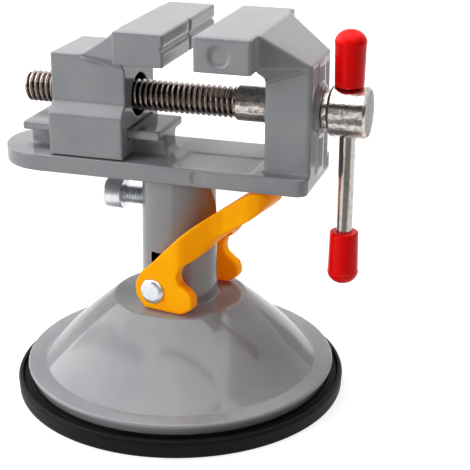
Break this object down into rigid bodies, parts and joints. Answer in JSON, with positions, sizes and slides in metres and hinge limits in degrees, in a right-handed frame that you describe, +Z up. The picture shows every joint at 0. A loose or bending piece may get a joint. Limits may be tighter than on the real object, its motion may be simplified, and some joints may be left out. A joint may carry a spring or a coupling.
{
  "type": "suction base vise",
  "caption": "Small swivelling bench vise on a post and a lever-locked suction cup; a lead screw with a sliding handle bar closes its moving jaw.",
  "frame": {"origin": "centre of the suction cup's face on the bench", "axes": "+Z up along the post, +X toward the fixed jaw and the screw's handle, -Y toward the front"},
  "size_m": [0.1202, 0.1096, 0.1241],
  "materials": {
    "grey_paint": "semi-gloss grey paint on a die casting",
    "black_rubber": "smooth matt moulded rubber",
    "plain_steel": "turned steel",
    "zinc_steel": "bright zinc plate on steel",
    "nickel_steel": "nickel plate on turned steel",
    "orange_plastic": "injection moulded, slightly glossy",
    "red_plastic": "dipped, glossy"
  },
  "bodies": {
    "base": {"base_casting": "grey_paint", "suction_cup": "black_rubber"},
    "stud": {"pull_stud": "plain_steel", "cup_insert": "plain_steel", "lock_nut": "zinc_steel", "lever_pin": "zinc_steel", "pin_washer": "zinc_steel"},
    "lever": {"cam_lever": "orange_plastic"},
    "clamp": {"clamp_screw": "zinc_steel"},
    "head": {"vise_body": "grey_paint"},
    "jaw": {"moving_jaw": "grey_paint", "jaw_nut": "plain_steel"},
    "screw": {"lead_screw": "nickel_steel", "outer_washer": "nickel_steel", "inner_washer": "nickel_steel", "retaining_clip": "plain_steel"},
    "bar": {"handle_bar": "nickel_steel", "upper_cap": "red_plastic", "lower_cap": "red_plastic"}
  },
  "joints": [
    {"name": "stud_lift", "type": "slide", "parent": "base", "child": "stud", "axis": [0, 0, 1], "range_m": [0, 0.0078]},
    {"name": "lever_swing", "type": "hinge", "parent": "stud", "child": "lever", "pos_m": [0, 0, 0.03855], "axis": [0.1857, 0.9826, 0], "range_deg": [0, 60]},
    {"name": "clamp_turn", "type": "hinge", "parent": "base", "child": "clamp", "pos_m": [-0.015, 0.00013, 0.0644], "axis": [-1, 0.0087, 0], "range_deg": [-360, 360]},
    {"name": "head_swivel", "type": "hinge", "parent": "base", "child": "head", "pos_m": [0, 0, 0.065], "axis": [0, 0, 1], "continuous": true},
    {"name": "jaw_slide", "type": "slide", "parent": "head", "child": "jaw", "axis": [1, 0, 0], "range_m": [-0.02, 0.0093]},
    {"name": "screw_turn", "type": "hinge", "parent": "head", "child": "screw", "pos_m": [0.04, 0, 0.0985], "axis": [-1, 0, 0], "range_deg": [-4000, 1860]},
    {"name": "bar_slide", "type": "slide", "parent": "screw", "child": "bar", "axis": [0, 0, 1], "range_m": [0, 0.03]}
  ],
  "couplings": [
    {"joint": "lever_swing", "follows": "stud_lift", "rad_per_m": 134.26},
    {"joint": "screw_turn", "follows": "jaw_slide", "rad_per_m": 3490.7}
  ]
}
